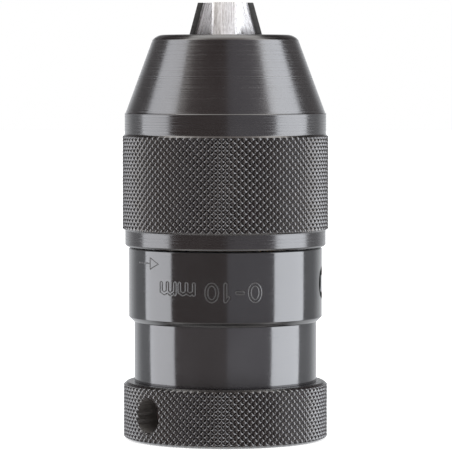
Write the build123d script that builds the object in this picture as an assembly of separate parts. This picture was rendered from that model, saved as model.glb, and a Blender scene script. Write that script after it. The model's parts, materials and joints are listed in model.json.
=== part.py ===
from build123d import *
import math
import os

# Keyless drill chuck, standing on its rear face with its jaws up and closed.
# All lengths are in mm. The origin is the centre of the rear face and +Z runs
# towards the jaws. -Y is the front, where the first jaw faces.

# ---- capacity and jaw drive ----
CAPACITY = 10.0            # largest drill shank that the jaws take
JAW_ANGLE = 17.5           # slope of the jaws and of the sleeve's inner cone
JAW_WIDTH = 5.0            # across the jaw's back, which is wider than its web
JAW_WEB = 4.2
JAW_BACK_DEPTH = 1.8       # depth of the wide back, square to the slope
JAW_TIP_Z = 91.0
JAW_BACK_CURVE = 7.0       # radius of the jaw's rounded outer face
JAW_CONE_GAP = 0.06        # running gap between a jaw and the sleeve's cone
JAW_FACE_GAP = 0.04        # half the gap between two closed jaws
JAW_SLOT_GAP = 0.04        # side clearance of a jaw in its slot
GRIP_LAND_Z = 76.5         # the gripping edge runs from here to the tip
FIRST_JAW_ANGLE = -92.6    # about +Z, from +X
JAW_COUNT = 3

# ---- sleeve, the knurled hood with the tapered nose ----
SLEEVE_BOTTOM_Z = 40.3
BAND_R = 20.95             # smooth band below the knurl
KNURL_R = 21.5
KNURL_BOTTOM_Z = 44.0
KNURL_TOP_Z = 63.3
COLLAR_R = 21.0            # smooth collar above the knurl
COLLAR_TOP_Z = 68.1
NOSE_FOOT_R = 20.8
NOSE_TOP_Z = 84.3
NOSE_FLAT_R = 12.9         # the flat front face ends here
NOSE_ROUND_R = 3.0         # radius of the rounded rim
NOSE_RIM_SLOPE = 50.0      # degrees that the rim's round turns before the taper
NOSE_HOLE_R = 7.9
SLEEVE_BORE_R = 18.6

# ---- fixed rear group ----
REAR_RING_R = 21.3
REAR_RING_FOOT_R = 20.2
REAR_RING_H = 12.0
SHELL_R = 19.05            # plain cylinder between the two rings
SHELL_SEAT_R = 18.4        # the label ring's seat
SHELL_SHOULDER_Z = 24.6
LABEL_RING_R = 20.2
LABEL_RING_TOP_Z = 40.1
CORE_R = 16.0
FLANGE_Z = 33.0
FLANGE_TOP_Z = 36.0
BOSS_R = 10.55
BOSS_TOP_Z = 47.3
NUT_BORE_R = 8.06          # left-hand feed thread, as a plain bore
NUT_FLOOR_Z = 25.0
PLUG_R = 3.0

# ---- taper socket, the no. 2 chuck taper of the inch series ----
SOCKET_MOUTH_R = 14.199 / 2
SOCKET_END_R = 12.386 / 2
SOCKET_DEPTH = 22.2
SOCKET_LEAD_IN = 0.4

# ---- spanner holes ----
REAR_HOLE_R = 3.5
REAR_HOLE_Z = 6.0
REAR_HOLE_ANGLE = -139.6   # about +Z, from +X
REAR_HOLE_FLOOR_R = 13.0
LABEL_HOLE_R = 3.0
LABEL_HOLE_Z = 32.8
LABEL_HOLE_ANGLE = -7.0
LABEL_HOLE_FLOOR_R = 15.0

# ---- thrust bearing ----
RACE_IN_R = 11.2
RACE_OUT_R = 17.0
RACE_THICK = 1.5
BALL_R = 1.49
BALL_SPACE = 3.0           # height between the two races
BALL_PITCH_R = 14.1
BALL_COUNT = 16
CAGE_IN_R = 12.2
CAGE_OUT_R = 16.0
CAGE_THICK = 2.0

# ---- jaw guide and feed screw ----
GUIDE_BOTTOM_Z = 42.0
GUIDE_TOP_Z = 82.0
GUIDE_BORE_R = 5.3
GUIDE_JOURNAL_R = 10.6
GUIDE_JOURNAL_TOP_Z = 44.6
GUIDE_POCKET_R = 13.2      # room for the washer and the circlip
GUIDE_POCKET_TOP_Z = 47.6
GUIDE_SCREW_BORE_R = 10.6
GUIDE_SCREW_BORE_TOP_Z = 72.3
SLOT_BOTTOM_Z = 50.5
SCREW_R = 8.0
SCREW_BOTTOM_Z = 41.0
HEAD_R = 10.4
HEAD_BOTTOM_Z = 63.5
HEAD_TOP_Z = 71.8
FOOT_BOTTOM_Z = 66.5       # underside of a jaw's foot
FOOT_TOP_Z = 69.0
FOOT_IN_R = 1.8
NECK_WIDTH = 2.4
SLOT_PLAY = 0.1            # play of a foot in the screw head's slot
FIT = 0.02                 # gap left in assembled fits

SLOPE = math.tan(math.radians(JAW_ANGLE))


def cone_r(z):
    """Radius of the sleeve's inner cone at height z."""
    return NOSE_HOLE_R + (NOSE_TOP_Z - z) * SLOPE


def cone_z(r):
    """Height at which the sleeve's inner cone has radius r."""
    return NOSE_TOP_Z - (r - NOSE_HOLE_R) / SLOPE


def turned(corners):
    """A turned solid from its half section, listed as (radius, height)."""
    points = [(r, 0, z) for r, z in corners]
    outline = Polyline(*points, close=True)
    return revolve(make_face(outline), Axis.Z)


def tube(r_in, r_out, z0, z1, chamfer=0.0):
    """A plain ring, with its outer corners broken by the chamfer."""
    c = chamfer
    corners = [(r_in, z0), (r_out - c, z0)]
    if c > 0:
        corners += [(r_out, z0 + c), (r_out, z1 - c)]
    corners += [(r_out - c, z1), (r_in, z1)]
    return turned(corners)


def rod(radius, x, y, z0, z1):
    """An upright round bar between two heights."""
    return Pos(x, y, (z0 + z1) / 2) * Cylinder(radius, z1 - z0)


def polar(radius, angle):
    """X and Y of a point at an angle in degrees about +Z."""
    a = math.radians(angle)
    return radius * math.cos(a), radius * math.sin(a)


def radial_drill(radius, z, angle, r_floor):
    """A drill standing radially, its flat end at r_floor."""
    x, y = polar(1.0, angle)
    plane = Plane(origin=(x * r_floor, y * r_floor, z), z_dir=(x, y, 0))
    drill = Cylinder(radius, 20, align=(Align.CENTER, Align.CENTER, Align.MIN))
    return plane * drill


def jaw_angles():
    """Angles of the jaws about +Z."""
    return [FIRST_JAW_ANGLE + i * 360 / JAW_COUNT for i in range(JAW_COUNT)]


def pin_angles():
    """Angles midway between the jaws, where the guide pins sit."""
    return [a + 180 / JAW_COUNT for a in jaw_angles()]


def rear_hole():
    return radial_drill(REAR_HOLE_R, REAR_HOLE_Z, REAR_HOLE_ANGLE, REAR_HOLE_FLOOR_R)


def label_hole():
    return radial_drill(LABEL_HOLE_R, LABEL_HOLE_Z, LABEL_HOLE_ANGLE, LABEL_HOLE_FLOOR_R)


# ---- small pins and rings that the larger parts are cut for ----

REAR_PIN_ANGLE = 60.0
REAR_PIN_R = 1.25
REAR_PIN_TOP_Z = 8.0
LABEL_PIN_ANGLE = 120.0
LABEL_PIN_R = 0.75
GUIDE_PIN_R = 1.0
GUIDE_PIN_TOP_Z = 47.0


def rear_ring_pin(radius):
    """Key pin in the joint between the rear ring and the body."""
    x, y = polar(CORE_R, REAR_PIN_ANGLE)
    return rod(radius, x, y, 0.3, REAR_PIN_TOP_Z)


def label_ring_pin(radius):
    """Key pin in the joint between the label ring and the flange."""
    x, y = polar(SHELL_SEAT_R, LABEL_PIN_ANGLE)
    return rod(radius, x, y, FLANGE_Z + 0.2, FLANGE_TOP_Z)


def guide_pins(radius, z0=GUIDE_BOTTOM_Z):
    """Three key pins in the joint between the guide and the sleeve."""
    pins = []
    for angle in pin_angles():
        x, y = polar(SLEEVE_BORE_R, angle)
        pins.append(rod(radius, x, y, z0, GUIDE_PIN_TOP_Z))
    return pins


CLIP_GROOVE_R = 9.75
CLIP_OUT_R = 11.9
CLIP_BOTTOM_Z = 45.4
CLIP_THICK = 1.0
CLIP_GAP = 5.0
CLIP_LUG_R = 1.35
WASHER_R = 12.9
WASHER_BOTTOM_Z = 44.65
WASHER_THICK = 0.7


def retaining_circlip():
    """Open spring ring with two plier lugs, in the boss's groove."""
    z0 = CLIP_BOTTOM_Z + 0.05
    z1 = z0 + CLIP_THICK
    ring = tube(CLIP_GROOVE_R + FIT, CLIP_OUT_R, z0, z1)
    gap = Pos(CLIP_OUT_R, 0, (z0 + z1) / 2) * Box(2 * CLIP_OUT_R, CLIP_GAP, 3)
    ring = ring - gap
    for side in (-1, 1):
        x, y = polar(11.4, side * 18)
        lug = rod(CLIP_LUG_R, x, y, z0, z1)
        clear = rod(BOSS_R + 0.05, 0, 0, z0 - 1, z1 + 1)
        eye = rod(0.55, x, y, z0 - 1, z1 + 1)
        ring = ring + (lug - clear) - eye
    return ring


def retaining_washer():
    return tube(BOSS_R + 0.05, WASHER_R, WASHER_BOTTOM_Z, WASHER_BOTTOM_Z + WASHER_THICK)


# ---- fixed rear group ----

def taper_body():
    """Core with the taper socket, the bearing flange and the threaded boss."""
    core = turned([
        (0, 0), (CORE_R - 0.3, 0), (CORE_R, 0.3), (CORE_R, FLANGE_Z),
        (SHELL_SEAT_R, FLANGE_Z), (SHELL_SEAT_R, FLANGE_TOP_Z), (BOSS_R, FLANGE_TOP_Z),
        (BOSS_R, CLIP_BOTTOM_Z), (CLIP_GROOVE_R, CLIP_BOTTOM_Z),
        (CLIP_GROOVE_R, CLIP_BOTTOM_Z + 1.1), (BOSS_R, CLIP_BOTTOM_Z + 1.1),
        (BOSS_R, BOSS_TOP_Z - 0.3), (BOSS_R - 0.3, BOSS_TOP_Z), (0, BOSS_TOP_Z),
    ])
    lead_r = SOCKET_MOUTH_R + SOCKET_LEAD_IN
    mouth_z_r = SOCKET_MOUTH_R - (SOCKET_MOUTH_R - SOCKET_END_R) * SOCKET_LEAD_IN / SOCKET_DEPTH
    socket = turned([
        (0, -1), (lead_r + 1, -1), (lead_r, 0), (mouth_z_r, SOCKET_LEAD_IN),
        (SOCKET_END_R, SOCKET_DEPTH), (SOCKET_END_R + 0.3, SOCKET_DEPTH),
        (SOCKET_END_R + 0.3, 23), (0, 23),
    ])
    nut = turned([
        (0, NUT_FLOOR_Z), (NUT_BORE_R, NUT_FLOOR_Z), (NUT_BORE_R, BOSS_TOP_Z - 0.6),
        (NUT_BORE_R + 0.6, BOSS_TOP_Z), (NUT_BORE_R + 0.6, BOSS_TOP_Z + 1), (0, BOSS_TOP_Z + 1),
    ])
    web_hole = rod(PLUG_R + FIT, 0, 0, 22, 26)
    core = core - socket - nut - web_hole
    core = core - rear_hole() - label_hole()
    return core - rear_ring_pin(REAR_PIN_R + FIT) - label_ring_pin(LABEL_PIN_R + FIT)


def socket_plug():
    """Plug that closes the socket off from the feed thread."""
    return tube(0, PLUG_R, 23.1, 24.9, 0.3)


def rear_ring():
    """Knurled holding ring at the spindle end, here at its knurl's outer size."""
    ring = turned([
        (CORE_R + FIT, 0), (REAR_RING_FOOT_R, 0), (REAR_RING_R, 0.6),
        (REAR_RING_R, REAR_RING_H - 0.6), (REAR_RING_R - 0.6, REAR_RING_H),
        (CORE_R + FIT, REAR_RING_H),
    ])
    return ring - rear_hole() - rear_ring_pin(REAR_PIN_R + FIT)


def body_shell():
    """Plain cylinder between the rings; its upper end carries the label ring."""
    shell = turned([
        (CORE_R + FIT, REAR_RING_H), (SHELL_R, REAR_RING_H), (SHELL_R, SHELL_SHOULDER_Z),
        (SHELL_SEAT_R, SHELL_SHOULDER_Z), (SHELL_SEAT_R, FLANGE_Z), (CORE_R + FIT, FLANGE_Z),
    ])
    return shell - label_hole()


def label_ring():
    """Smooth ring that covers the bearing, with a spanner hole."""
    r_in = SHELL_SEAT_R + FIT
    ring = turned([
        (r_in, SHELL_SHOULDER_Z), (SHELL_R + 0.15, SHELL_SHOULDER_Z),
        (LABEL_RING_R, SHELL_SHOULDER_Z + 1.0), (LABEL_RING_R, LABEL_RING_TOP_Z - 0.3),
        (LABEL_RING_R - 0.3, LABEL_RING_TOP_Z), (r_in, LABEL_RING_TOP_Z),
    ])
    return ring - label_hole() - label_ring_pin(LABEL_PIN_R + FIT)


def dust_seal():
    """Thin rubber collar that keeps chips out of the bearing."""
    return tube(17.5, SHELL_SEAT_R - 0.05, FLANGE_TOP_Z, LABEL_RING_TOP_Z - 0.1)


def rear_race():
    return tube(RACE_IN_R, RACE_OUT_R, FLANGE_TOP_Z, FLANGE_TOP_Z + RACE_THICK, 0.2)


# ---- ball cage ----

BALL_Z = FLANGE_TOP_Z + RACE_THICK + BALL_SPACE / 2


def ball_spots():
    """Centres of the balls on their pitch circle."""
    return [polar(BALL_PITCH_R, i * 360 / BALL_COUNT) for i in range(BALL_COUNT)]


def thrust_balls():
    return [Pos(x, y, BALL_Z) * Sphere(BALL_R) for x, y in ball_spots()]


def ball_cage():
    cage = tube(CAGE_IN_R, CAGE_OUT_R, BALL_Z - CAGE_THICK / 2, BALL_Z + CAGE_THICK / 2, 0.2)
    for x, y in ball_spots():
        cage = cage - rod(BALL_R + 0.04, x, y, BALL_Z - 3, BALL_Z + 3)
    return cage


# ---- turning group ----

def front_race():
    return tube(RACE_IN_R, RACE_OUT_R, GUIDE_BOTTOM_Z - RACE_THICK, GUIDE_BOTTOM_Z, 0.2)


def nose_rim():
    """Corners of the rounded rim, from the taper up to the flat front face."""
    steps = 8
    corners = []
    for i in range(steps, -1, -1):
        a = math.radians(NOSE_RIM_SLOPE * i / steps)
        r = NOSE_FLAT_R + NOSE_ROUND_R * math.sin(a)
        z = NOSE_TOP_Z - NOSE_ROUND_R * (1 - math.cos(a))
        corners.append((r, z))
    return corners


def sleeve():
    """Hood with the knurled grip, the tapered nose and the inner cone."""
    hood = turned([
        (SLEEVE_BORE_R, SLEEVE_BOTTOM_Z), (BAND_R - 0.4, SLEEVE_BOTTOM_Z),
        (BAND_R, SLEEVE_BOTTOM_Z + 0.4), (BAND_R, KNURL_BOTTOM_Z - 0.4),
        (KNURL_R, KNURL_BOTTOM_Z), (KNURL_R, KNURL_TOP_Z - 0.2),
        (KNURL_R - 0.2, KNURL_TOP_Z), (COLLAR_R, KNURL_TOP_Z),
        (COLLAR_R, COLLAR_TOP_Z - 0.2), (NOSE_FOOT_R, COLLAR_TOP_Z),
        *nose_rim(), (NOSE_HOLE_R, NOSE_TOP_Z),
        (SLEEVE_BORE_R, cone_z(SLEEVE_BORE_R)),
    ])
    for hole in guide_pins(GUIDE_PIN_R + FIT, SLEEVE_BOTTOM_Z - 1):
        hood = hood - hole
    return hood


def guide_blank():
    """The guide's turning, before its jaw slots are milled."""
    r_low = SLEEVE_BORE_R - 0.03
    return turned([
        (GUIDE_JOURNAL_R, GUIDE_BOTTOM_Z), (r_low, GUIDE_BOTTOM_Z),
        (r_low, cone_z(SLEEVE_BORE_R)), (cone_r(GUIDE_TOP_Z) - 0.03, GUIDE_TOP_Z),
        (GUIDE_BORE_R, GUIDE_TOP_Z), (GUIDE_BORE_R, GUIDE_SCREW_BORE_TOP_Z),
        (GUIDE_SCREW_BORE_R, GUIDE_SCREW_BORE_TOP_Z), (GUIDE_SCREW_BORE_R, GUIDE_POCKET_TOP_Z),
        (GUIDE_POCKET_R, GUIDE_POCKET_TOP_Z), (GUIDE_POCKET_R, GUIDE_JOURNAL_TOP_Z),
        (GUIDE_JOURNAL_R, GUIDE_JOURNAL_TOP_Z),
    ])


def jaw_slots():
    """Cutters for one jaw's slot, which is T-shaped: the web's and the wider back's."""
    z0 = SLOT_BOTTOM_Z
    z1 = GUIDE_TOP_Z + 2
    web = Pos(12.5, 0, (z0 + z1) / 2) * Box(25, JAW_WEB + 2 * JAW_SLOT_GAP, z1 - z0)
    step = (JAW_BACK_DEPTH + JAW_CONE_GAP * 2) / math.cos(math.radians(JAW_ANGLE))
    side = Polyline(
        (cone_r(z0) - step, 0, z0), (25, 0, z0), (25, 0, z1), (cone_r(z1) - step, 0, z1),
        close=True,
    )
    back = extrude(make_face(side), amount=JAW_WIDTH / 2 + JAW_SLOT_GAP, both=True)
    return [web, back]


def jaw_guide():
    """Guide inside the sleeve. The lips of its sloped slots draw the jaws apart."""
    guide = guide_blank()
    for angle in jaw_angles():
        for cutter in jaw_slots():
            guide = guide - Rot(0, 0, angle) * cutter
    for pin in guide_pins(GUIDE_PIN_R + FIT):
        guide = guide - pin
    return guide


def guide_lock_ring():
    """Ring screwed into the sleeve below the guide, with two spanner slots."""
    ring = tube(RACE_OUT_R + 0.25, SLEEVE_BORE_R - FIT, SLEEVE_BOTTOM_Z + 0.2, GUIDE_BOTTOM_Z - FIT)
    slot = Pos(0, 0, SLEEVE_BOTTOM_Z + 0.5) * Box(60, 3, 0.8)
    return ring - slot


def feed_screw():
    """Screw that drives the jaws; its head has a T-slot for each jaw's foot."""
    screw = turned([
        (0, SCREW_BOTTOM_Z), (SCREW_R - 0.6, SCREW_BOTTOM_Z), (SCREW_R, SCREW_BOTTOM_Z + 0.6),
        (SCREW_R, HEAD_BOTTOM_Z), (HEAD_R - 0.3, HEAD_BOTTOM_Z), (HEAD_R, HEAD_BOTTOM_Z + 0.3),
        (HEAD_R, HEAD_TOP_Z - 0.3), (HEAD_R - 0.3, HEAD_TOP_Z), (0, HEAD_TOP_Z),
    ])
    z0 = FOOT_BOTTOM_Z - SLOT_PLAY
    z1 = FOOT_TOP_Z + SLOT_PLAY
    channel = Pos(7.5, 0, (z0 + z1) / 2) * Box(15, JAW_WEB + 2 * SLOT_PLAY, z1 - z0)
    neck = Pos(7.5, 0, z0 + 5) * Box(15, NECK_WIDTH + 2 * SLOT_PLAY, 10)
    for angle in jaw_angles():
        screw = screw - Rot(0, 0, angle) * channel
        screw = screw - Rot(0, 0, angle) * neck
    return screw


def jaw_plate(corners, width):
    """A flat plate in the jaw's plane, from (radius, height) corners."""
    points = [(r, 0, z) for r, z in corners]
    side = make_face(Polyline(*points, close=True))
    return extrude(side, amount=width / 2, both=True)


def jaw_at_x():
    """One jaw lying in the +X half plane, in its closed place."""
    cos_a = math.cos(math.radians(JAW_ANGLE))
    sin_a = math.sin(math.radians(JAW_ANGLE))
    back_at_nose = NOSE_HOLE_R - JAW_CONE_GAP / cos_a
    step = JAW_BACK_DEPTH / cos_a

    def back_r(z):
        return back_at_nose + (NOSE_TOP_Z - z) * SLOPE

    web = jaw_plate([
        (0, JAW_TIP_Z), (back_r(JAW_TIP_Z), JAW_TIP_Z), (back_r(FOOT_BOTTOM_Z), FOOT_BOTTOM_Z),
        (FOOT_IN_R, FOOT_BOTTOM_Z), (FOOT_IN_R, HEAD_TOP_Z + 0.1), (1.0, HEAD_TOP_Z + 0.1),
        (1.0, GRIP_LAND_Z - 1.0), (0, GRIP_LAND_Z),
    ], JAW_WEB)
    back = jaw_plate([
        (back_r(JAW_TIP_Z) - step, JAW_TIP_Z), (back_r(JAW_TIP_Z), JAW_TIP_Z),
        (back_r(FOOT_BOTTOM_Z), FOOT_BOTTOM_Z), (back_r(FOOT_BOTTOM_Z) - step, FOOT_BOTTOM_Z),
    ], JAW_WIDTH)
    jaw = web + back

    axis_x = back_at_nose - JAW_BACK_CURVE * cos_a
    axis_z = NOSE_TOP_Z - JAW_BACK_CURVE * sin_a
    along = Plane(origin=(axis_x, 0, axis_z), z_dir=(sin_a, 0, -cos_a))
    rounded = along * Cylinder(JAW_BACK_CURVE, 90)
    inner_half = Pos(-20 * cos_a, 0, -20 * sin_a) * (along * Box(40, 40, 90))
    jaw = jaw & (rounded + inner_half)

    tip = JAW_FACE_GAP / math.sin(math.radians(60))
    far = 30.0
    spread = (far - tip) * math.tan(math.radians(60))
    corner_face = make_face(Polyline((tip, 0, 60), (far, spread, 60), (far, -spread, 60), close=True))
    jaw = jaw & extrude(corner_face, amount=40, dir=(0, 0, 1))

    neck_h = HEAD_TOP_Z + 0.1 - FOOT_TOP_Z
    for side_y in (-1, 1):
        y = side_y * (NECK_WIDTH / 2 + 5)
        jaw = jaw - Pos(HEAD_R / 2 + 0.15, y, FOOT_TOP_Z + neck_h / 2) * Box(HEAD_R + 0.3, 10, neck_h)
    return jaw


# ---- build and write the parts ----

def write_part(name, shape):
    """Write one named part, given as a solid or as a list of equal solids."""
    if isinstance(shape, list):
        shape = Compound(children=shape)
    shape.label = name
    export_step(shape, f"parts/{name}.step")


def main():
    os.makedirs("parts", exist_ok=True)
    write_part("taper_body", taper_body())
    write_part("socket_plug", socket_plug())
    write_part("rear_ring", rear_ring())
    write_part("rear_ring_pin", rear_ring_pin(REAR_PIN_R))
    write_part("body_shell", body_shell())
    write_part("label_ring", label_ring())
    write_part("label_ring_pin", label_ring_pin(LABEL_PIN_R))
    write_part("dust_seal", dust_seal())
    write_part("rear_race", rear_race())
    write_part("thrust_balls", thrust_balls())
    write_part("ball_cage", ball_cage())
    write_part("front_race", front_race())
    write_part("retaining_washer", retaining_washer())
    write_part("retaining_circlip", retaining_circlip())
    write_part("sleeve", sleeve())
    write_part("jaw_guide", jaw_guide())
    write_part("guide_pins", guide_pins(GUIDE_PIN_R))
    write_part("guide_lock_ring", guide_lock_ring())
    write_part("feed_screw", feed_screw())
    jaw = jaw_at_x()
    for number, angle in enumerate(jaw_angles(), start=1):
        write_part(f"jaw_{number}", Rot(0, 0, angle) * jaw)


main()
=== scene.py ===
import json
import math

import bmesh
import bpy
import numpy as np
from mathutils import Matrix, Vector

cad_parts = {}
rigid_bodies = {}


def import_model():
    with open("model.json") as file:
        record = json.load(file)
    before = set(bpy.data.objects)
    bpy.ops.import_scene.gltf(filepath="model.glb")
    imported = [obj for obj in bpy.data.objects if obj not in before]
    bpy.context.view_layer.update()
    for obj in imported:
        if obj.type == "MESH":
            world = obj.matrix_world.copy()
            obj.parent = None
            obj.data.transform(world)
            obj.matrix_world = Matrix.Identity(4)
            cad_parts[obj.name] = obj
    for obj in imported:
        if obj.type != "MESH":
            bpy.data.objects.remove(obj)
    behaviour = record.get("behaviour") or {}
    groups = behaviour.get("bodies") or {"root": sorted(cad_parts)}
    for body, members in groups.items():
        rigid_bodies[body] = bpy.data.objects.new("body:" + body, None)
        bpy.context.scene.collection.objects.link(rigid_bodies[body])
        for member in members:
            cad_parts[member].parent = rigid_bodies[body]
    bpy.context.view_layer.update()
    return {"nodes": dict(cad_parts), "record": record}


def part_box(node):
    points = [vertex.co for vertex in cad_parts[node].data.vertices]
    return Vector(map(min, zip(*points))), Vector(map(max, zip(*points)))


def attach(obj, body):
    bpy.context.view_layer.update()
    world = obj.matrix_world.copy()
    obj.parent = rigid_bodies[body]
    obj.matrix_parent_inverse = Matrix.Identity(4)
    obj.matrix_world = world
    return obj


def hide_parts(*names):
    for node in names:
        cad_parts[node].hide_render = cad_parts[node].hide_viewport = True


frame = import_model()

# The drill chuck's looks. Lengths are in mm until a mesh is made; +Z runs towards the
# jaws, and the front is -Y. An azimuth is in degrees, from the front towards +X.
MM = 0.001


def node_size(node):
    """Outer radius, lowest and highest z of a turned CAD node, in mm."""
    low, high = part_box(node)
    return max(high.x, high.y, -low.x, -low.y) / MM, low.z / MM, high.z / MM


SLEEVE_R, SLEEVE_Z0, SLEEVE_Z1 = node_size("sleeve")
REAR_R, REAR_Z0, REAR_Z1 = node_size("rear_ring")
LABEL_R, LABEL_Z0, LABEL_Z1 = node_size("label_ring")
SHELL_R, SHELL_Z0, SHELL_Z1 = node_size("body_shell")

# ---- dimensions shared with the CAD ----
BAND_R = 20.95
KNURL_Z0, KNURL_Z1 = 44.0, 63.3
COLLAR_R = 21.0
COLLAR_Z1 = 68.1
NOSE_FOOT_R = 20.8
NOSE_FLAT_R = 12.9
NOSE_ROUND_R = 3.0
NOSE_RIM_SLOPE = 50.0
NOSE_HOLE_R = 7.9
SLEEVE_BORE_R = 18.6
CORE_R = 16.02
SEAT_R = 18.42             # inside of the label ring
REAR_FOOT_R = 20.2
REAR_HOLE = {"radius": 3.5, "z": 6.0, "azimuth": -49.6, "floor_r": 13.0}
LABEL_HOLE = {"radius": 3.0, "z": 32.8, "azimuth": 83.0, "floor_r": 15.0}
FIRST_JAW_AZIMUTH = -2.6
JAW_ANGLE = 17.5           # slope of the jaws and of the hood's inner cone
JAW_WIDTH = 5.0            # across a jaw's wide back
JAW_WEB = 4.2              # across the rest of it

# ---- knurl ----
KNURL_COUNT = 86           # diamonds around
KNURL_PITCH_Z = 1.517      # height of a diamond
KNURL_STEPS = 8            # mesh steps across a diamond
KNURL_FLANK = 0.72         # share of the half pitch taken by the groove's flank
KNURL_DEPTH = 0.36
KNURL_CREASE = 45.0        # edges sharper than this stay sharp
# Waves that make the crests uneven: height, and rates around and up.
CREST_WAVES = ((0.012, 0.73, 1.9), (0.008, 2.1, -3.3))
# Plain strips above and below a knurl: depth under the crests, and height.
SLEEVE_STRIPS = ((0.13, 0.12), (0.15, 0.10))
REAR_STRIPS = ((0.15, 0.12), (0.17, 0.12))
SLEEVE_CRESTS_Z1 = KNURL_Z1 - 0.15
REAR_CRESTS_Z0, REAR_CRESTS_Z1 = REAR_Z0 + 0.6, REAR_Z1 - 0.55

# ---- turnings ----
PLAIN_STEPS = 384          # mesh steps around a plain turning
SMOOTH_ANGLE = 28.0        # flatter edges are shaded smooth
EDGE = 0.12                # radius or width of a broken edge
RIM_STEPS = 12             # straight steps along the nose's rounded rim
KNURL_CHAMFER = 0.42       # height of the chamfers at the sleeve's knurl
CHAMFER_FOOT = (0.04, 0.1)  # the upper one bends here: out of the collar, and under its end
COLLAR_EDGE = 0.15
BAND_CHAMFER = 0.35
REAR_CHAMFER = 0.75
LABEL_TAPER = 1.0          # height of the taper at the label ring's foot
LABEL_STEP = 0.15          # the foot stands this far out of the shell
LABEL_CHAMFER = 0.3
LABEL_EDGE = 0.15
LABEL_CREASE = 40.0        # edges sharper than this stay sharp
SHELL_GAP = 0.02           # between the shell and the label ring
HOLE_FLARE = 0.45          # width of the flare round a spanner hole
FLARE_REACH = 0.05         # the flare runs this far past the surface

# ---- engraved marks, placed along the label ring from its front and in z ----
MARKS_FROM, MARKS_TO = -72.0, 27.0   # azimuths that the marks lie between
MARKS_Z0, MARKS_Z1 = 29.2, 39.2
MARKS_STEP = 0.2           # mesh steps around, in degrees, at the marks
UNMARKED_STEP = 1.0        # and elsewhere
MARKS_STEP_Z = 0.07
LINE_WIDTH = 0.22          # width of an engraved line
LINE_EDGE = 0.06           # it fades out over this much more
LINE_DEPTH = 0.07
MARK_GAIN = 1.8            # the paler colour is full before the full depth
OUTLINE = 0.30             # from a character's middle line to its outline
CAPACITY = "0-10 mm"
CAPACITY_START = 7.4       # it stands upside down, so it runs towards the left
CAPACITY_FOOT_Z = 33.5
GLYPH_HEIGHT = 3.4
GLYPH_WIDTHS = {"0": 2.3, "1": 1.6, "-": 2.0, "m": 3.3}
GLYPH_GAP = 1.05
GLYPH_SPACE = 1.6
ARROW_HEAD = ((-17.6, 38.5), (-15.1, 37.3), (-17.6, 36.2), (-17.6, 38.5))
ARROW_DASHES = (((-19.3, 37.35), (-17.6, 37.35)), ((-21.6, 37.35), (-20.1, 37.35)))

# Middle lines of the characters, in a box 1 wide and 1 high.
GLYPHS = {
    "0": [[(0.5 + 0.5 * math.sin(a), 0.5 - 0.5 * math.cos(a))
           for a in np.linspace(0, 2 * math.pi, 17)]],
    "1": [[(0.25, 0.8), (0.6, 1.0), (0.6, 0.0)]],
    "-": [[(0.2, 0.5), (0.8, 0.5)]],
    "m": [[(0.0, 0.0), (0.0, 0.62)], [(0.0, 0.5), (0.25, 0.62), (0.5, 0.5), (0.5, 0.0)],
          [(0.5, 0.5), (0.75, 0.62), (1.0, 0.5), (1.0, 0.0)]],
}

# ---- camera and floor ----
CAMERA_DISTANCE = 680.0    # from the chuck's axis
CAMERA_SIDE = 0.12         # to the right of it
CAMERA_HEIGHT = 78.7
AIM_HEIGHT = 44.4
FOCAL_LENGTH = 259.4
FLOOR_HALF = 3000.0
FLOOR_DROP = 0.05          # under the chuck's rear face
FLOOR_COLOUR = (0.9, 0.9, 0.9, 1)
FLOOR_GLOW = 0.55

# ---- lights; their places and sizes are in metres ----
SOFTBOX_DISTANCE = 0.45
SOFTBOX_Z = 0.1175
SOFTBOX_HEIGHT = 0.685
SOFTBOXES = (
    {"name": "softbox_left", "azimuths": (-66, -108), "radiance": 2.2, "colour": (0.93, 0.95, 1.0)},
    {"name": "softbox_right", "azimuths": (59, 104.3), "radiance": 2.8, "colour": (0.92, 0.95, 1.0)},
)
JAW_CARDS = (
    {"name": "card_right", "azimuth": 49, "distance": 0.5, "z": 0.08, "width": 0.18, "height": 0.5,
     "radiance": 3.2, "colour": (0.95, 0.97, 1.0)},
    {"name": "card_left", "azimuth": -58, "distance": 0.5, "z": 0.08, "width": 0.12, "height": 0.5,
     "radiance": 0.7, "colour": (0.95, 0.97, 1.0)},
    {"name": "card_front", "azimuth": 0, "distance": 0.36, "z": 0.55, "width": 0.75, "height": 0.6,
     "radiance": 0.6, "colour": (1.0, 0.98, 0.965)},
)
HIGHEST_AIM = 0.25         # a light that stands higher is aimed at this height

# ---- the room that the steel mirrors: its brightness, and where it changes ----
ROOM_LEFT = (0.125, 0.100, 0.098, 1)
ROOM_RIGHT = (0.29, 0.28, 0.31, 1)
ROOM_BACK = (0.36, 0.37, 0.39, 1)
ROOM_BACK_HIGH = (0.17, 0.165, 0.17, 1)
ROOM_BACK_TOP = (0.04, 0.038, 0.037, 1)
ROOM_FAR = (0.90, 0.92, 0.95, 1)
ROOM_OVERHEAD = (1.5, 1.48, 1.45, 1)
ROOM_TOP = (0.60, 0.54, 0.51, 1)
ROOM_UPPER = (2.3, 2.22, 2.15, 1)
ROOM_LOW = (0.07, 0.06, 0.058, 1)
ROOM_BELOW = (0.95, 0.92, 0.90, 1)
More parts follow.
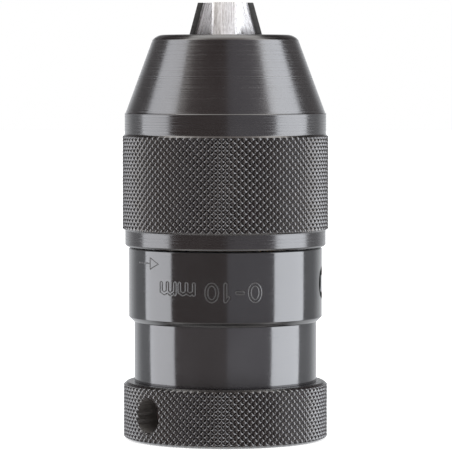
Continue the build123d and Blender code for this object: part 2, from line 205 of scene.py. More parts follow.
# Each pair fades between two values of x, y or z of the direction looked in.
FADE_X_RIGHT = (0.01, 0.07)
FADE_Y_BACK = (0.1, 0.4)
FADE_Y_FAR = (0.6, 0.95)
FADE_Z_BACK_HIGH = (0.06, 0.3)
FADE_Z_BACK_TOP = (0.40, 0.52)
FADE_Z_UPPER = (0.61, 0.69)
FADE_Y_UPPER_FRONT = (-0.45, -0.25)
FADE_Y_UPPER_BACK = (0.35, 0.15)
FADE_Z_TOP = (0.86, 0.97)
FADE_Z_OVERHEAD = (0.35, 0.85)
FADE_Y_OVERHEAD = (0.0, 0.2)
OVERHEAD_FAN = 0.577       # the panel overhead narrows this much towards the back
FADE_FAN = (OVERHEAD_FAN + 0.03, OVERHEAD_FAN - 0.03)
FADE_Y_LOW_FAR = (0.3, 0.7)
FADE_Z_LOW = (-0.15, -0.4)
FADE_Z_BELOW = (-0.75, -0.93)

# ---- steels ----
OXIDE_IOR = 2.26           # magnetite mirrors much more than a varnish does
# How the roughness varies: noise scales over the surface and along the axis, the share of
# the latter, the noise's range, and the roughness there as a share of its middle value.
PATCHY = {"surface": 700.0, "axis": 2300.0, "share": 0.65, "range": (0.3, 0.7), "spread": (0.6, 1.5)}
LINED = {"surface": 500.0, "axis": 4300.0, "share": 0.8, "range": (0.36, 0.64), "spread": (0.65, 1.4)}
# Black oxide in its kinds; low and high are the colours that it mottles between.
OXIDES = {
    "turned": {"roughness": 0.2, "line_depth": 9e-6, "pattern": LINED,
               "low": (0.0115, 0.0095, 0.0095, 1), "high": (0.0165, 0.014, 0.014, 1)},
    "fine": {"roughness": 0.11, "line_depth": 2e-6,
             "low": (0.011, 0.0105, 0.0105, 1), "high": (0.0155, 0.015, 0.0155, 1)},
    "body": {"roughness": 0.12, "line_depth": 3e-6,
             "low": (0.022, 0.0215, 0.0225, 1), "high": (0.029, 0.0285, 0.030, 1)},
    "knurled": {"roughness": 0.2, "line_depth": 3e-6,
                "low": (0.013, 0.0105, 0.0105, 1), "high": (0.020, 0.016, 0.0155, 1)},
    "bore": {"roughness": 0.5, "line_depth": 3e-6,
             "low": (0.050, 0.043, 0.037, 1), "high": (0.066, 0.057, 0.050, 1)},
    "jaw": {"roughness": 0.5, "line_depth": 1e-6, "ior": 1.35,
            "low": (0.012, 0.011, 0.010, 1), "high": (0.022, 0.020, 0.018, 1)},
    "inner": {"roughness": 0.3, "line_depth": 2e-6,
              "low": (0.012, 0.010, 0.010, 1), "high": (0.02, 0.017, 0.017, 1)},
}
GRAIN_DEPTH = 0.5e-6       # metres, as every depth of a bump
MARK_COLOUR = (0.04, 0.038, 0.037, 1)
CREST_COLOUR = (0.05, 0.042, 0.038, 1)
# painted shade: the colour that the knurl's grooves are darkened towards
GROOVE_SHADE_COLOUR = (0.006, 0.005, 0.005, 1)
STAIN_SHADE = 0.82         # of a bare steel's colour where it is stained
GROUND_DARK = (0.44, 0.43, 0.42, 1)
GROUND_BRIGHT = (0.93, 0.93, 0.94, 1)
STREAK_STRETCH = 0.035     # scale along the jaw of its streaks
SPECK_STRETCH = 0.3        # and of its specks


# ---------------------------------------------------------------- mesh helpers

def new_object(name, verts, faces):
    """A mesh object from vertices in mm."""
    mesh = bpy.data.meshes.new(name)
    mesh.from_pydata([tuple(v) for v in np.asarray(verts) * MM], [], faces)
    mesh.validate()
    obj = bpy.data.objects.new(name, mesh)
    bpy.context.scene.collection.objects.link(obj)
    return obj


def smooth(obj, angle=SMOOTH_ANGLE):
    """Smooth shading, except across edges sharper than the angle."""
    obj.data.polygons.foreach_set("use_smooth", [True] * len(obj.data.polygons))
    obj.data.set_sharp_from_angle(angle=math.radians(angle))


def directions(azimuth):
    """Unit vectors at an azimuth: away from the axis, and towards greater azimuths."""
    a = math.radians(azimuth)
    return (math.sin(a), -math.cos(a), 0.0), (math.cos(a), math.sin(a), 0.0)


def softened(corners, radius, steps=3):
    """A closed half section with its corners rounded. A corner with a third number has that
    radius. A rounding takes at most 0.45 of a side, and a very flat corner stays as it is."""
    out = []
    count = len(corners)
    for i, corner in enumerate(corners):
        here = np.array(corner[:2], float)
        before = np.array(corners[i - 1][:2], float) - here
        after = np.array(corners[(i + 1) % count][:2], float) - here
        own = corner[2] if len(corner) > 2 else radius
        la, lb = np.linalg.norm(before), np.linalg.norm(after)
        turn = math.pi - math.acos(np.clip(before @ after / (la * lb), -1, 1))
        reach = min(own * math.tan(turn / 2), la * 0.45, lb * 0.45)
        if own <= 0 or turn < math.radians(12):
            out.append(tuple(here))
            continue
        a, b = here + before / la * reach, here + after / lb * reach
        for k in range(steps + 1):
            t = k / steps
            out.append(tuple((1 - t) ** 2 * a + 2 * t * (1 - t) * here + t * t * b))
    return out


def ring_points(radii, z, count):
    """One ring of points; radii is one number or one for each point."""
    angles = np.arange(count) * 2 * math.pi / count
    r = np.broadcast_to(np.asarray(radii, float), (count,))
    return np.stack([r * np.cos(angles), r * np.sin(angles), np.full(count, float(z))], axis=1)


def azimuth_ring(azimuths, radii, z):
    """One ring of points at the azimuths, which are in radians."""
    r = np.broadcast_to(np.asarray(radii, float), azimuths.shape)
    return np.stack([r * np.sin(azimuths), -r * np.cos(azimuths), np.full(len(azimuths), float(z))], axis=1)


def quads_between(low_row, high_row, count):
    """Faces between two rings, facing outwards when the rows run upwards."""
    a, b = low_row * count, high_row * count
    return [(a + i, a + (i + 1) % count, b + (i + 1) % count, b + i) for i in range(count)]


def tube_faces(rows, count, first=0):
    """Faces from each ring to the next, and from the last one to ring 0."""
    faces = []
    for j in range(first, rows):
        faces += quads_between(j, (j + 1) % rows, count)
    return faces


def lathe(name, corners):
    """A closed turning from a half section, listed so that its outside runs upwards."""
    rows = [ring_points(r, z, PLAIN_STEPS) for r, z in softened(corners, EDGE)]
    obj = new_object(name, np.concatenate(rows), tube_faces(len(rows), PLAIN_STEPS))
    smooth(obj)
    return obj


# ---------------------------------------------------------------- knurl

def saw(x):
    """0 at whole numbers and 1 halfway between them."""
    return 1 - np.abs(2 * (x - np.floor(x)) - 1)


def knurl_radii(outer_r, z, count):
    """Radii of one ring through the diamonds, and how high each point stands, 0 to 1."""
    u = np.arange(count) / KNURL_STEPS
    v = z / KNURL_PITCH_Z
    flank = np.minimum(np.minimum(saw(u + v), saw(u - v)) / KNURL_FLANK, 1)
    height = flank * flank * (3 - 2 * flank)
    sunk = sum(size * (1 + np.sin(u * around + v * up)) for size, around, up in CREST_WAVES)
    return outer_r - KNURL_DEPTH * (1 - height) - sunk * height, height


def knurl_heights(z0, z1):
    """The heights of a knurled band's rings: its two ends, and even steps between."""
    step = KNURL_PITCH_Z / KNURL_STEPS
    first, last = math.ceil(z0 / step + 0.2), math.floor(z1 / step - 0.2)
    return [z0] + [k * step for k in range(first, last + 1)] + [z1]


def knurl_faces(row, z_low, z_high, count):
    """Triangles between two rings of a knurl, split along the diamonds' creases."""
    a, b = row * count, (row + 1) * count
    u = (np.arange(count) + 0.5) / KNURL_STEPS
    v = (z_low + z_high) / 2 / KNURL_PITCH_Z
    rising = saw(u + v) > saw(u - v)
    faces = []
    for i in range(count):
        n = (i + 1) % count
        if rising[i]:
            faces += [(a + i, a + n, b + n), (a + i, b + n, b + i)]
        else:
            faces += [(a + i, a + n, b + i), (a + n, b + n, b + i)]
    return faces


def knurled_lathe(name, outer_r, z0, z1, strips, above):
    """A turning whose outer wall between z0 and z1 is knurled, with plain strips at its ends.
    above lists the rest of the half section, from the upper strip round to the lower one."""
    count = KNURL_COUNT * KNURL_STEPS
    rows, heights, faces = [], [], []
    levels = knurl_heights(z0, z1)
    for z in levels:
        radii, height = knurl_radii(outer_r, z, count)
        rows.append(ring_points(radii, z, count))
        heights.append(height)
    for j in range(len(levels) - 1):
        faces += knurl_faces(j, levels[j], levels[j + 1], count)
    (top_depth, top_height), (foot_depth, foot_height) = strips
    corners = [(outer_r, z1, 0), (outer_r - top_depth, z1 + top_height), *above,
               (outer_r - foot_depth, z0 - foot_height), (outer_r, z0, 0)]
    section = softened(corners, EDGE)[1:-1]
    rows += [ring_points(r, z, count) for r, z in section]
    heights += [np.full(count, -1.0)] * len(section)
    faces += tube_faces(len(rows), count, len(levels) - 1)
    obj = new_object(name, np.concatenate(rows), faces)
    smooth(obj, KNURL_CREASE)
    attribute = obj.data.attributes.new("crest", "FLOAT", "POINT")
    attribute.data.foreach_set("value", np.concatenate(heights).astype(np.float32))
    return obj


def knurl_to_slot(obj, slot):
    """Gives the knurled faces another material slot."""
    height = np.zeros(len(obj.data.vertices), np.float32)
    obj.data.attributes["crest"].data.foreach_get("value", height)
    for polygon in obj.data.polygons:
        if min(height[v] for v in polygon.vertices) >= 0:
            polygon.material_index = slot


# ---------------------------------------------------------------- holes

def drill_for(hole, rim_r, reach=30.0, sides=96):
    """A closed cutter for a radial hole, flared where it breaks through the surface."""
    r = hole["radius"]
    section = [(r, hole["floor_r"]), (r, rim_r - HOLE_FLARE),
               (r + HOLE_FLARE, rim_r + FLARE_REACH), (r + HOLE_FLARE, reach)]
    out, side = map(Vector, directions(hole["azimuth"]))
    verts, faces = [], []
    for radius, along in section:
        for k in range(sides):
            a = 2 * math.pi * k / sides
            point = out * along + side * (radius * math.cos(a))
            verts.append((point.x, point.y, hole["z"] + radius * math.sin(a)))
    for j in range(len(section) - 1):
        for k in range(sides):
            n = (k + 1) % sides
            faces.append((j * sides + k, j * sides + n, (j + 1) * sides + n, (j + 1) * sides + k))
    faces.append(tuple(reversed(range(sides))))
    top = (len(section) - 1) * sides
    faces.append(tuple(top + k for k in range(sides)))
    return new_object("cutter", verts, faces)


def bore_to_slot(obj, hole, slot):
    """Gives the wall of a radial hole in the front half another material slot."""
    _, side = map(Vector, directions(hole["azimuth"]))
    for polygon in obj.data.polygons:
        across, above = polygon.center.dot(side) / MM, polygon.center.z / MM - hole["z"]
        if math.hypot(across, above) < hole["radius"] * 1.001 and polygon.center.y < 0:
            polygon.material_index = slot


def cut(obj, cutter):
    """Takes the cutter out of the object, exactly, and deletes the cutter."""
    modifier = obj.modifiers.new("cut", "BOOLEAN")
    modifier.operation = "DIFFERENCE"
    modifier.solver = "EXACT"
    modifier.object = cutter
    bpy.context.view_layer.update()
    evaluated = obj.evaluated_get(bpy.context.evaluated_depsgraph_get())
    mesh = bpy.data.meshes.new_from_object(evaluated)
    obj.modifiers.clear()
    old = obj.data
    obj.data = mesh
    mesh.name = old.name
    bpy.data.meshes.remove(old)
    bpy.data.objects.remove(cutter)


# ---------------------------------------------------------------- turned pieces

def make_sleeve():
    """Knurled hood with its smooth band, collar, tapered nose and rounded rim."""
    rim = []
    for k in range(RIM_STEPS + 1):
        slope = math.radians(NOSE_RIM_SLOPE * (1 - k / RIM_STEPS))
        rim.append((NOSE_FLAT_R + NOSE_ROUND_R * math.sin(slope),
                    SLEEVE_Z1 - NOSE_ROUND_R * (1 - math.cos(slope))))
    bore_top = SLEEVE_Z1 - (SLEEVE_BORE_R - NOSE_HOLE_R) / math.tan(math.radians(JAW_ANGLE))
    chamfer_top = KNURL_Z1 + KNURL_CHAMFER
    above = [
        (COLLAR_R + CHAMFER_FOOT[0], chamfer_top - CHAMFER_FOOT[1]), (COLLAR_R, chamfer_top),
        (COLLAR_R, COLLAR_Z1 - COLLAR_EDGE), (NOSE_FOOT_R, COLLAR_Z1),
        *rim, (NOSE_HOLE_R, SLEEVE_Z1),
        (SLEEVE_BORE_R, bore_top), (SLEEVE_BORE_R, SLEEVE_Z0),
        (BAND_R - BAND_CHAMFER, SLEEVE_Z0), (BAND_R, SLEEVE_Z0 + BAND_CHAMFER),
        (BAND_R, KNURL_Z0 - KNURL_CHAMFER),
    ]
    return knurled_lathe("sleeve_hood", SLEEVE_R, KNURL_Z0, SLEEVE_CRESTS_Z1, SLEEVE_STRIPS, above)


def make_rear_ring():
    """Knurled holding ring with chamfered ends and a spanner hole."""
    above = [(REAR_R - REAR_CHAMFER, REAR_Z1), (CORE_R, REAR_Z1), (CORE_R, REAR_Z0), (REAR_FOOT_R, REAR_Z0)]
    ring = knurled_lathe("rear_grip_ring", REAR_R, REAR_CRESTS_Z0, REAR_CRESTS_Z1, REAR_STRIPS, above)
    cut(ring, drill_for(REAR_HOLE, REAR_R))
    smooth(ring, KNURL_CREASE)
    return ring


def make_body_shell():
    """Plain cylinder, thinner where the label ring goes over it."""
    shell = lathe("body_cylinder", [
        (SHELL_R, SHELL_Z0), (SHELL_R, LABEL_Z0), (SEAT_R - SHELL_GAP, LABEL_Z0),
        (SEAT_R - SHELL_GAP, SHELL_Z1), (CORE_R, SHELL_Z1), (CORE_R, SHELL_Z0),
    ])
    cut(shell, drill_for(LABEL_HOLE, LABEL_R))
    smooth(shell)
    return shell


def label_azimuths():
    """Azimuths of the label ring's points in radians, close together at the marks."""
    unmarked = 360 - (MARKS_TO - MARKS_FROM)
    count = int(unmarked / UNMARKED_STEP)
    fine = np.arange(MARKS_FROM, MARKS_TO, MARKS_STEP)
    coarse = MARKS_TO + np.arange(count) * unmarked / count
    return np.radians(np.concatenate([fine, coarse]))


def label_section():
    """The label ring's half section, which starts on its wall just over the taper."""
    section = softened([
        (LABEL_R, LABEL_Z0 + LABEL_TAPER), (LABEL_R, LABEL_Z1 - LABEL_CHAMFER),
        (LABEL_R - LABEL_CHAMFER, LABEL_Z1), (SEAT_R, LABEL_Z1), (SEAT_R, LABEL_Z0),
        (SHELL_R + LABEL_STEP, LABEL_Z0),
    ], LABEL_EDGE)
    wall_foot = max(i for i, (r, z) in enumerate(section) if z < MARKS_Z0 and r > LABEL_R - 1e-6)
    return section[wall_foot:] + section[:wall_foot]


def make_label_ring():
    """Smooth ring over the bearing, engraved with an arrow and the jaws' capacity."""
    azimuths, section, strokes = label_azimuths(), label_section(), mark_strokes()
    plain = np.zeros(len(azimuths))
    rows, depths = [azimuth_ring(azimuths, *section[0])], [plain]
    for z in np.arange(MARKS_Z0, MARKS_Z1, MARKS_STEP_Z):
        depths.append(engraved_depth(azimuths * LABEL_R, z, strokes))
        rows.append(azimuth_ring(azimuths, LABEL_R - depths[-1], z))
    rows += [azimuth_ring(azimuths, r, z) for r, z in section[1:]]
    depths += [plain] * (len(section) - 1)
    ring = new_object("engraved_ring", np.concatenate(rows), tube_faces(len(rows), len(azimuths)))
    attribute = ring.data.attributes.new("mark", "FLOAT", "POINT")
    engraved = np.clip(np.concatenate(depths) / LINE_DEPTH * MARK_GAIN, 0, 1)
    attribute.data.foreach_set("value", engraved.astype(np.float32))
    cut(ring, drill_for(LABEL_HOLE, LABEL_R))
    smooth(ring, LABEL_CREASE)
    return ring


# ---------------------------------------------------------------- engraved marks

def mark_strokes():
    """All engraved lines as (start, end, offset), along the ring and in z, in mm."""
    strokes = []
    along = CAPACITY_START
    for glyph in CAPACITY:
        if glyph == " ":
            along -= GLYPH_SPACE
            continue
        for line in GLYPHS[glyph]:
            points = [(along - x * GLYPH_WIDTHS[glyph], CAPACITY_FOOT_Z - y * GLYPH_HEIGHT)
                      for x, y in line]
            strokes += [(a, b, OUTLINE) for a, b in zip(points, points[1:])]
        along -= GLYPH_WIDTHS[glyph] + GLYPH_GAP
    strokes += [(a, b, 0.0) for a, b in zip(ARROW_HEAD, ARROW_HEAD[1:])]
    strokes += [(a, b, 0.0) for a, b in ARROW_DASHES]
    return strokes


def engraved_depth(along, z, strokes):
    """Depth of the engraving at points round the ring at one height."""
    to_glyph = np.full(len(along), np.inf)
    to_line = np.full(len(along), np.inf)
    for (x0, z0), (x1, z1), offset in strokes:
        dx, dz = x1 - x0, z1 - z0
        t = np.clip(((along - x0) * dx + (z - z0) * dz) / (dx * dx + dz * dz), 0, 1)
        distance = np.hypot(along - x0 - t * dx, z - z0 - t * dz)
        if offset:
            to_glyph = np.minimum(to_glyph, distance)
        else:
            to_line = np.minimum(to_line, distance)
    nearest = np.minimum(np.abs(to_glyph - OUTLINE), to_line)
    t = np.clip(1 - nearest / (LINE_WIDTH / 2 + LINE_EDGE), 0, 1)
    return LINE_DEPTH * t * t * (3 - 2 * t)


# ---------------------------------------------------------------- jaws and inner parts

def dressed_copy(name, node, bevel=0.0):
    """A new piece with a CAD node's shape: welded, smooth-shaded, its edges broken
    if a bevel is asked for."""
    mesh = frame["nodes"][node].data.copy()
    mesh.materials.clear()
    obj = bpy.data.objects.new(name, mesh)
    bpy.context.scene.collection.objects.link(obj)
    bm = bmesh.new()
    bm.from_mesh(mesh)
    bmesh.ops.remove_doubles(bm, verts=bm.verts, dist=1e-6)
    bmesh.ops.dissolve_limit(bm, angle_limit=math.radians(0.4), verts=bm.verts, edges=bm.edges)
    if bevel > 0:
        sharp = [e for e in bm.edges if len(e.link_faces) == 2 and e.calc_face_angle() > math.radians(30)]
        bmesh.ops.bevel(bm, geom=sharp, offset=bevel * MM, segments=2, profile=0.5,
                        affect="EDGES", clamp_overlap=True)
    bm.to_mesh(mesh)
    bm.free()
    smooth(obj)
    return obj


def jaw_azimuth(number):
    """Azimuth of jaw 1, 2 or 3, a third of a turn apart."""
    return FIRST_JAW_AZIMUTH + 120 * (number - 1)


def make_jaw(number):
    """A jaw with broken edges; its points' places across, in depth and along are kept
    for its grain and for the blackening of its sides."""
    jaw = dressed_copy(f"jaw_blade_{number}", f"jaw_{number}", bevel=EDGE)
    out, across = map(np.array, directions(jaw_azimuth(number)))
    up = np.array([0, 0, 1.0])
    slope = math.radians(JAW_ANGLE)
    along = -out * math.sin(slope) + up * math.cos(slope)
    depth = out * math.cos(slope) + up * math.sin(slope)
    co = np.array([v.co for v in jaw.data.vertices])
    local = np.stack([co @ across, co @ depth, co @ along], axis=1)
    attribute = jaw.data.attributes.new("jaw_place", "FLOAT_VECTOR", "POINT")
    attribute.data.foreach_set("vector", local.astype(np.float32).ravel())
    return jaw


# ---------------------------------------------------------------- camera and lights

def make_camera():
    """A long lens from the front, at the height of the nose."""
    data = bpy.data.cameras.new("camera")
    data.lens = FOCAL_LENGTH
    data.sensor_width = 36.0
    data.clip_start = 0.05
    camera = bpy.data.objects.new("camera", data)
    place = Vector((CAMERA_SIDE, -CAMERA_DISTANCE, CAMERA_HEIGHT)) * MM
    aim = Vector((CAMERA_SIDE, 0, AIM_HEIGHT)) * MM
    camera.location = place
    camera.rotation_euler = (aim - place).to_track_quat("-Z", "Y").to_euler()
    bpy.context.scene.collection.objects.link(camera)
    bpy.context.scene.camera = camera


def area_light(name, azimuth, distance, z, width, height, radiance, colour):
    """A rectangular soft light facing the chuck's axis."""
    data = bpy.data.lights.new(name, "AREA")
    data.shape = "RECTANGLE"
    data.size, data.size_y = width, height
    data.energy = radiance * width * height * math.pi
    data.color = colour
    light = bpy.data.objects.new(name, data)
    a = math.radians(azimuth)
    light.location = (distance * math.sin(a), -distance * math.cos(a), z)
    to_axis = Vector((0, 0, min(z, HIGHEST_AIM))) - light.location
    light.rotation_euler = to_axis.to_track_quat("-Z", "Y").to_euler()
    bpy.context.scene.collection.objects.link(light)
    return light


def make_softboxes():
    """Tall softboxes, each as wide as its range of azimuths seen from the axis."""
    for box in SOFTBOXES:
        first, last = box["azimuths"]
        width = 2 * SOFTBOX_DISTANCE * math.tan(math.radians(abs(last - first) / 2))
        area_light(box["name"], (first + last) / 2, SOFTBOX_DISTANCE, SOFTBOX_Z, width, SOFTBOX_HEIGHT,
                   box["radiance"], box["colour"])


def make_cards():
    """Small soft cards that light only the ground jaws."""
    jaws = bpy.data.collections.new("jaws_only")
    bpy.context.scene.collection.children.link(jaws)
    for number in (1, 2, 3):
        jaws.objects.link(bpy.data.objects[f"jaw_blade_{number}"])
    for card in JAW_CARDS:
        area_light(**card).light_linking.receiver_collection = jaws


# ---------------------------------------------------------------- node trees

class Nodes:
    """Short calls for building a node tree."""

    def __init__(self, tree):
        self.tree = tree

    def add(self, kind, **inputs):
        node = self.tree.nodes.new("ShaderNode" + kind)
        for name, value in inputs.items():
            node.inputs[name.replace("_", " ")].default_value = value
        return node

    def link(self, a, b):
        self.tree.links.new(a, b)

    def mix(self, factor, colour_a, colour_b):
        """A colour mix; each argument is an output or a plain colour."""
        node = self.tree.nodes.new("ShaderNodeMix")
        node.data_type = "RGBA"
        for name, value in (("Factor", factor), ("A", colour_a), ("B", colour_b)):
            socket = next(i for i in node.inputs if i.name == name and i.enabled)
            if isinstance(value, bpy.types.NodeSocket):
                self.link(value, socket)
            else:
                socket.default_value = value
        return next(o for o in node.outputs if o.enabled)

    def remap(self, value, low, high, to_low=0.0, to_high=1.0, soft=False):
        """Maps a range of values to another."""
        node = self.add("MapRange")
        if soft:
            node.interpolation_type = "SMOOTHSTEP"
        limits = {"From Min": low, "From Max": high, "To Min": to_low, "To Max": to_high}
        for name, number in limits.items():
            node.inputs[name].default_value = number
        self.link(value, node.inputs["Value"])
        return node.outputs["Result"]

    def fade(self, value, limits):
        """0 at the first limit and 1 at the second, with soft ends."""
        return self.remap(value, *limits, soft=True)

    def math(self, operation, a, b=0.0):
        node = self.tree.nodes.new("ShaderNodeMath")
        node.operation = operation
        for socket, value in zip(node.inputs, (a, b)):
            if isinstance(value, bpy.types.NodeSocket):
                self.link(value, socket)
            else:
                socket.default_value = value
        return node.outputs[0]

    def noise(self, vector, scale, detail=2.0, dimensions="3D"):
        node = self.tree.nodes.new("ShaderNodeTexNoise")
        node.noise_dimensions = dimensions
        node.inputs["Scale"].default_value = scale
        node.inputs["Detail"].default_value = detail
        self.link(vector, node.inputs["W" if dimensions == "1D" else "Vector"])
        return node.outputs["Fac"]

    def bump(self, height, distance, normal=None):
        """A normal from a height; the distance is the height's depth in metres."""
        node = self.add("Bump", Strength=1.0, Distance=distance)
        self.link(height, node.inputs["Height"])
        if normal is not None:
            self.link(normal, node.inputs["Normal"])
        return node.outputs["Normal"]


# ---------------------------------------------------------------- world and floor

def room_behind(n, y, z):
    """Brightness of the room's back, darker upwards."""
    back = n.mix(n.fade(y, FADE_Y_FAR), ROOM_BACK, ROOM_FAR)
    back = n.mix(n.fade(z, FADE_Z_BACK_HIGH), back, ROOM_BACK_HIGH)
    return n.mix(n.fade(z, FADE_Z_BACK_TOP), back, ROOM_BACK_TOP)


def mirrored_room(n, x, y, z):
    """Brightness of the room by direction: darker at the front left, lighter at the front
    right and behind, with a bright band high up, a panel overhead, and dark below."""
    front = n.mix(n.fade(x, FADE_X_RIGHT), ROOM_LEFT, ROOM_RIGHT)
    room = n.mix(n.fade(y, FADE_Y_BACK), front, room_behind(n, y, z))
    upper = n.math("MULTIPLY", n.fade(z, FADE_Z_UPPER), n.fade(y, FADE_Y_UPPER_FRONT))
    upper = n.math("MULTIPLY", upper, n.fade(y, FADE_Y_UPPER_BACK))
    room = n.mix(upper, room, ROOM_UPPER)
    room = n.mix(n.fade(z, FADE_Z_TOP), room, ROOM_TOP)
    fan = n.math("ADD", n.math("ABSOLUTE", x), n.math("MULTIPLY", y, OVERHEAD_FAN))
    overhead = n.math("MULTIPLY", n.fade(z, FADE_Z_OVERHEAD), n.fade(y, FADE_Y_OVERHEAD))
    room = n.mix(n.math("MULTIPLY", overhead, n.fade(fan, FADE_FAN)), room, ROOM_OVERHEAD)
    low = n.mix(n.fade(y, FADE_Y_LOW_FAR), ROOM_LOW, ROOM_FAR)
    room = n.mix(n.fade(z, FADE_Z_LOW), room, low)
    return n.mix(n.fade(z, FADE_Z_BELOW), room, ROOM_BELOW)


def make_world():
    """White to the eye and to matt surfaces; what the steel mirrors is a dim room."""
    world = bpy.data.worlds.new("studio")
    bpy.context.scene.world = world
    world.use_nodes = True
    world.node_tree.nodes.clear()
    n = Nodes(world.node_tree)
    split = n.add("SeparateXYZ")
    n.link(n.add("TexCoord").outputs["Generated"], split.inputs[0])
    mirrored, white = n.add("Background"), n.add("Background", Color=(1, 1, 1, 1), Strength=1.0)
    n.link(mirrored_room(n, *split.outputs), mirrored.inputs["Color"])
    path = n.add("LightPath")
    matt = n.math("MAXIMUM", path.outputs["Is Camera Ray"], path.outputs["Is Diffuse Ray"])
    both, output = n.add("MixShader"), n.add("OutputWorld")
    n.link(matt, both.inputs[0])
    n.link(mirrored.outputs[0], both.inputs[1])
    n.link(white.outputs[0], both.inputs[2])
    n.link(both.outputs[0], output.inputs["Surface"])


def floor_material():
    """Pale and glowing a little; neither reflections nor a view from below show it."""
    material = bpy.data.materials.new("pale_floor")
    material.use_nodes = True
    material.node_tree.nodes.clear()
    n = Nodes(material.node_tree)
    matt, lit = n.add("BsdfDiffuse", Color=FLOOR_COLOUR), n.add("Emission", Strength=FLOOR_GLOW)
    pale, clear = n.add("AddShader"), n.add("BsdfTransparent")
    n.link(matt.outputs[0], pale.inputs[0])
    n.link(lit.outputs[0], pale.inputs[1])
    both, output = n.add("MixShader"), n.add("OutputMaterial")
    unseen = n.math("MAXIMUM", n.add("LightPath").outputs["Is Glossy Ray"],
                    n.add("NewGeometry").outputs["Backfacing"])
    n.link(unseen, both.inputs[0])
    n.link(pale.outputs[0], both.inputs[1])
    n.link(clear.outputs[0], both.inputs[2])
    n.link(both.outputs[0], output.inputs["Surface"])
    return material


def make_floor():
    """A pale plain floor, large enough to reach past the view."""
    half = FLOOR_HALF
    floor = new_object("floor", [(-half, -half, 0), (half, -half, 0), (half, half, 0), (-half, half, 0)],
                       [(0, 1, 2, 3)])
    floor.location.z = -FLOOR_DROP * MM
    floor.data.materials.append(floor_material())


# ---------------------------------------------------------------- materials

def node_material(name):
    """A new material, its node builder and its main shader."""
    material = bpy.data.materials.new(name)
    material.use_nodes = True
    return material, Nodes(material.node_tree), material.node_tree.nodes["Principled BSDF"]


def place_outputs(n):
    """Object coordinates in metres: whole, and z alone."""
    coords, split = n.add("TexCoord"), n.add("SeparateXYZ")
    n.link(coords.outputs["Object"], split.inputs[0])
    return coords.outputs["Object"], split.outputs["Z"]


def black_oxide(kind, extra=None):
    """Black oxide on steel: dark and satin, with fine lines round the axis.
    extra(n, colour, roughness, place) may change the colour and the roughness."""
    look = OXIDES[kind]
    pattern = look.get("pattern", PATCHY)
    material, n, shader = node_material("black_oxide_" + kind)
    shader.inputs["Metallic"].default_value = 0.0
    shader.inputs["IOR"].default_value = look.get("ior", OXIDE_IOR)
    place, z = place_outputs(n)
    mottle = n.remap(n.noise(place, 160.0, 4.0), 0.3, 0.7)
    colour = n.mix(mottle, look["low"], look["high"])
    lines = n.bump(n.noise(z, 3200.0, 3.0, "1D"), look["line_depth"])
    grain = n.bump(n.noise(place, 9000.0, 1.0), GRAIN_DEPTH, lines)
    n.link(grain, shader.inputs["Normal"])
    patches = n.math("MULTIPLY", n.noise(place, pattern["surface"], 3.0), 1 - pattern["share"])
    rings = n.math("MULTIPLY", n.noise(z, pattern["axis"], 3.0, "1D"), pattern["share"])
    rough_ends = [look["roughness"] * share for share in pattern["spread"]]
    rough = n.remap(n.math("ADD", patches, rings), *pattern["range"], *rough_ends)
    if extra:
        colour, rough = extra(n, colour, rough, place)
    n.link(colour, shader.inputs["Base Color"])
    n.link(rough, shader.inputs["Roughness"])
    return material


def marked(n, colour, rough, place):
    """The engraved lines are a little paler and duller than the ring."""
    mark = n.add("Attribute")
    mark.attribute_name = "mark"
    colour = n.mix(mark.outputs["Fac"], colour, MARK_COLOUR)
    return colour, n.math("MAXIMUM", rough, n.math("MULTIPLY", mark.outputs["Fac"], 0.7))


def worn_crests_and_groove_shade(n, colour, rough, place):
    """The diamonds' tops are rubbed a little paler; the grooves are darkened with painted shade."""
    crest = n.add("Attribute")
    crest.attribute_name = "crest"
    # painted shade: the deeper a point lies in a groove, the darker it is painted
    groove_shade = n.remap(crest.outputs["Fac"], 0.45, 0.0)
    rubbed = n.remap(crest.outputs["Fac"], 0.9, 1.0)
    worn = n.math("MULTIPLY", rubbed, n.remap(n.noise(place, 260.0, 3.0), 0.42, 0.62))
    colour = n.mix(n.math("MULTIPLY", worn, 0.6), colour, CREST_COLOUR)
    return n.mix(n.math("MULTIPLY", groove_shade, 0.5), colour, GROOVE_SHADE_COLOUR), rough


def bare_metal(name, colour, roughness, line_depth=0.0):
    """Bare metal, turned or polished, with faint stains."""
    material, n, shader = node_material(name)
    shader.inputs["Metallic"].default_value = 1.0
    place, z = place_outputs(n)
    stain = n.remap(n.noise(place, 220.0, 4.0), 0.3, 0.7)
    stained = tuple(c * STAIN_SHADE for c in colour)
    n.link(n.mix(stain, (*colour, 1), (*stained, 1)), shader.inputs["Base Color"])
    n.link(n.remap(n.noise(place, 900.0, 3.0), 0.25, 0.75, roughness * 0.8, roughness * 1.25),
           shader.inputs["Roughness"])
    if line_depth > 0:
        n.link(n.bump(n.noise(z, 8000.0, 2.0, "1D"), line_depth), shader.inputs["Normal"])
    return material


def along_jaw(n, stretch):
    """The jaw's own coordinates, with patterns drawn out along it."""
    place, mapping = n.add("Attribute"), n.add("Mapping")
    place.attribute_name = "jaw_place"
    mapping.inputs["Scale"].default_value = (1.0, 1.0, stretch)
    n.link(place.outputs["Vector"], mapping.inputs["Vector"])
    return mapping.outputs["Vector"]


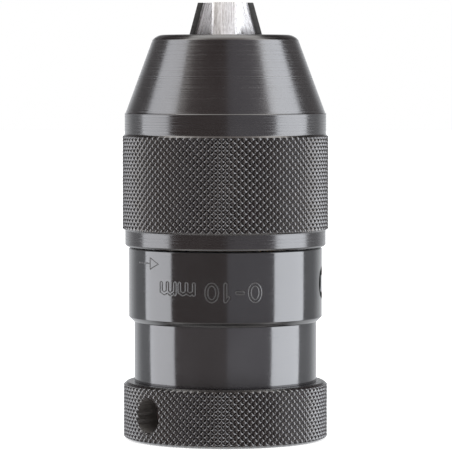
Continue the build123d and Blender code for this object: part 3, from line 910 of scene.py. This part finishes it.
def ground_steel():
    """The jaws' ground faces: satin, with streaks that run along the jaw."""
    material, n, shader = node_material("ground_steel")
    shader.inputs["Metallic"].default_value = 0.9
    drawn, speckled = along_jaw(n, STREAK_STRETCH), along_jaw(n, SPECK_STRETCH)
    streaks = n.noise(drawn, 5200.0, 4.0)
    specks = n.noise(speckled, 4200.0, 3.0)
    broad = n.noise(drawn, 1300.0, 2.0)
    mixed = n.math("ADD", n.math("MULTIPLY", streaks, 0.45), n.math("MULTIPLY", specks, 0.3))
    tone = n.remap(n.math("ADD", mixed, n.math("MULTIPLY", broad, 0.25)), 0.38, 0.6)
    n.link(n.mix(tone, GROUND_DARK, GROUND_BRIGHT), shader.inputs["Base Color"])
    n.link(n.remap(streaks, 0.3, 0.7, 0.22, 0.36), shader.inputs["Roughness"])
    n.link(n.bump(streaks, 1e-5, n.bump(broad, 2e-5)), shader.inputs["Normal"])
    return material


def plain_rubber():
    """Dull black rubber of the dust seal."""
    material, n, shader = node_material("seal_rubber")
    place, _ = place_outputs(n)
    n.link(n.mix(n.noise(place, 900.0), (0.012, 0.012, 0.012, 1), (0.03, 0.03, 0.03, 1)),
           shader.inputs["Base Color"])
    shader.inputs["Roughness"].default_value = 0.75
    return material


# ---------------------------------------------------------------- build

def install(obj, body, node, slot, *materials):
    """Gives a new piece its materials, and puts it in its CAD node's place."""
    obj.data.materials.clear()
    for material in materials:
        obj.data.materials.append(material)
    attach(obj, body)
    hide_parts(node)


def build_outside():
    """Hood, rear ring, shell and label ring; returns the CAD nodes that they replace."""
    turned, fine = black_oxide("turned"), black_oxide("fine", marked)
    body, knurled = black_oxide("body"), black_oxide("knurled", worn_crests_and_groove_shade)
    sleeve = make_sleeve()
    install(sleeve, "turning_sleeve", "sleeve", "black_oxide", turned, knurled)
    knurl_to_slot(sleeve, 1)
    bored = black_oxide("bore")
    rear_ring = make_rear_ring()
    install(rear_ring, "chuck_body", "rear_ring", "black_oxide", knurled, bored)
    bore_to_slot(rear_ring, REAR_HOLE, 1)
    install(make_body_shell(), "chuck_body", "body_shell", "black_oxide", body)
    install(make_label_ring(), "chuck_body", "label_ring", "black_oxide", fine)
    return {"sleeve", "rear_ring", "body_shell", "label_ring"}


def blacken_sides(jaw, number):
    """The sides of a jaw's wide back take its second material."""
    local = np.zeros(len(jaw.data.vertices) * 3, np.float32)
    jaw.data.attributes["jaw_place"].data.foreach_get("vector", local)
    across = np.abs(local.reshape(-1, 3)[:, 0])
    _, side = map(Vector, directions(jaw_azimuth(number)))
    past_web = (JAW_WIDTH + JAW_WEB) / 4 * MM
    for polygon in jaw.data.polygons:
        middle = np.mean([across[v] for v in polygon.vertices])
        is_side = abs(polygon.normal.dot(side)) > 0.9 and middle > past_web
        polygon.material_index = 1 if is_side else 0


def build_jaws():
    """Ground jaws with black sides at their backs; returns the CAD nodes that they replace."""
    ground, black = ground_steel(), black_oxide("jaw")
    nodes = [f"jaw_{number}" for number in (1, 2, 3)]
    for number, node in enumerate(nodes, start=1):
        jaw = make_jaw(number)
        install(jaw, node, node, "ground_steel", ground, black)
        blacken_sides(jaw, number)
    return set(nodes)


def build_inside(done):
    """The inner parts, all nodes but those done, keep their CAD shapes, welded and smoothed."""
    looks = {
        "hardened_steel": bare_metal("hardened_steel", (0.30, 0.29, 0.285), 0.3, 2e-6),
        "bearing_steel": bare_metal("bearing_steel", (0.72, 0.72, 0.73), 0.12),
        "spring_steel": bare_metal("spring_steel", (0.12, 0.13, 0.16), 0.3),
        "cage_brass": bare_metal("cage_brass", (0.68, 0.47, 0.20), 0.28, 2e-6),
        "black_oxide": black_oxide("inner"),
        "seal_rubber": plain_rubber(),
    }
    record = frame["record"]
    slots = {part["node"]: part["material_slot"] for part in record["subparts"]}
    for body, nodes in record["behaviour"]["bodies"].items():
        for node in nodes:
            if node not in done:
                install(dressed_copy(node + "_piece", node), body, node, slots[node], looks[slots[node]])


bpy.context.scene.view_settings.view_transform = "Standard"
make_camera()
make_world()
make_softboxes()
make_floor()
replaced = build_outside() | build_jaws()
build_inside(replaced)
make_cards()
